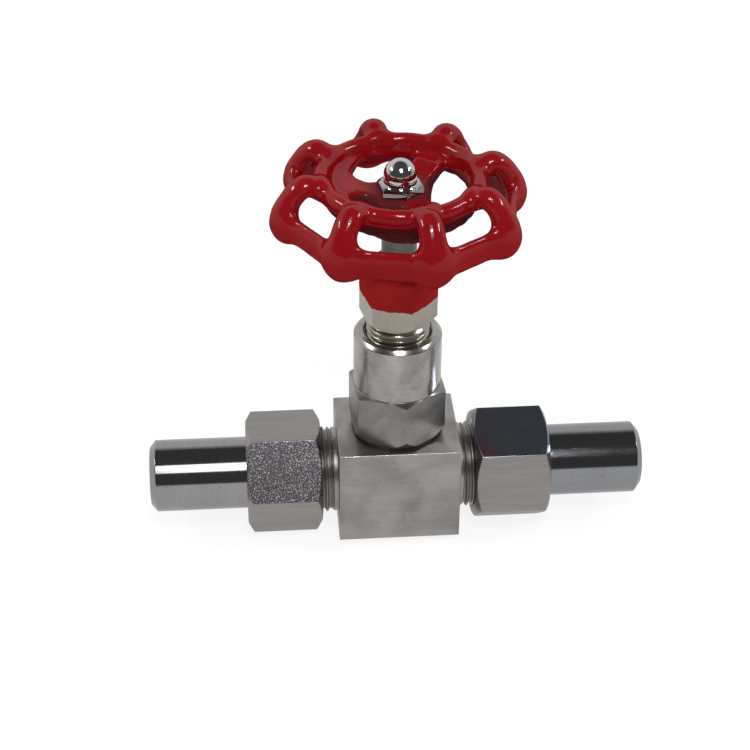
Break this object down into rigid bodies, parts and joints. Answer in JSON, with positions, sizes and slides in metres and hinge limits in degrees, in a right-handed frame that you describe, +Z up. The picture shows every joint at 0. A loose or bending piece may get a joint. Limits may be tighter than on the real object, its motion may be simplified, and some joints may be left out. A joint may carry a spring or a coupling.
{
  "type": "needle valve",
  "caption": "Needle valve with a square bar body, packed bonnet, cast red handwheel and a union nut with a butt-weld nipple at each end.",
  "frame": {"origin": "centre of the square body's flat underside, straight below the stem", "axes": "+X along the pipe run towards the right-hand weld end, +Y away from the viewer, +Z up along the stem towards the handwheel"},
  "size_m": [0.1264, 0.0608, 0.1044],
  "materials": {
    "bar_steel": "satin, milled and sawn bar",
    "turned_steel": "fine turned and polished",
    "plain_steel": "plain machined",
    "nickel": "warm nickel plate, red overspray on its upper half",
    "chrome": "mirror",
    "red_enamel": "glossy red enamel over a casting",
    "packing": "pressed white packing",
    "gasket_sheet": "dark fibre sheet",
    "soft_seal": "soft copper"
  },
  "bodies": {
    "valve_body": {"body_block": "bar_steel", "bonnet_gasket": "gasket_sheet", "bonnet": "turned_steel", "packing_base_ring": "plain_steel", "packing_ring_1": "packing", "packing_ring_2": "packing", "packing_ring_3": "packing", "packing_ring_4": "packing", "gland_follower": "plain_steel", "gland_nut": "nickel", "union_seal_left": "soft_seal", "union_seal_right": "soft_seal"},
    "needle": {"needle_tip": "plain_steel"},
    "spindle": {"stem": "turned_steel", "handwheel": "red_enamel", "acorn_nut": "chrome"},
    "nipple_left": {"weld_nipple_left": "turned_steel"},
    "nut_left": {"union_nut_left": "plain_steel"},
    "nipple_right": {"weld_nipple_right": "turned_steel"},
    "nut_right": {"union_nut_right": "plain_steel"}
  },
  "joints": [
    {"name": "stem_lift", "type": "slide", "parent": "valve_body", "child": "needle", "axis": [0, 0, 1], "range_m": [0, 0.00601]},
    {"name": "wheel_turn", "type": "hinge", "parent": "needle", "child": "spindle", "pos_m": [0, 0, 0.08], "axis": [0, 0, 1], "range_deg": [0, 1440]},
    {"name": "union_left_draw", "type": "slide", "parent": "valve_body", "child": "nipple_left", "axis": [-1, 0, 0], "range_m": [0, 0.01051]},
    {"name": "union_left_turn", "type": "hinge", "parent": "nipple_left", "child": "nut_left", "pos_m": [-0.029, 0, 0.0132], "axis": [-1, 0, 0], "range_deg": [0, 2520]},
    {"name": "union_right_draw", "type": "slide", "parent": "valve_body", "child": "nipple_right", "axis": [1, 0, 0], "range_m": [0, 0.01051]},
    {"name": "union_right_turn", "type": "hinge", "parent": "nipple_right", "child": "nut_right", "pos_m": [0.029, 0, 0.0132], "axis": [1, 0, 0], "range_deg": [0, 2520]}
  ],
  "couplings": [
    {"joint": "stem_lift", "follows": "wheel_turn", "m_per_rad": 0.00023873},
    {"joint": "union_left_draw", "follows": "union_left_turn", "m_per_rad": 0.00023873},
    {"joint": "union_right_draw", "follows": "union_right_turn", "m_per_rad": 0.00023873}
  ]
}
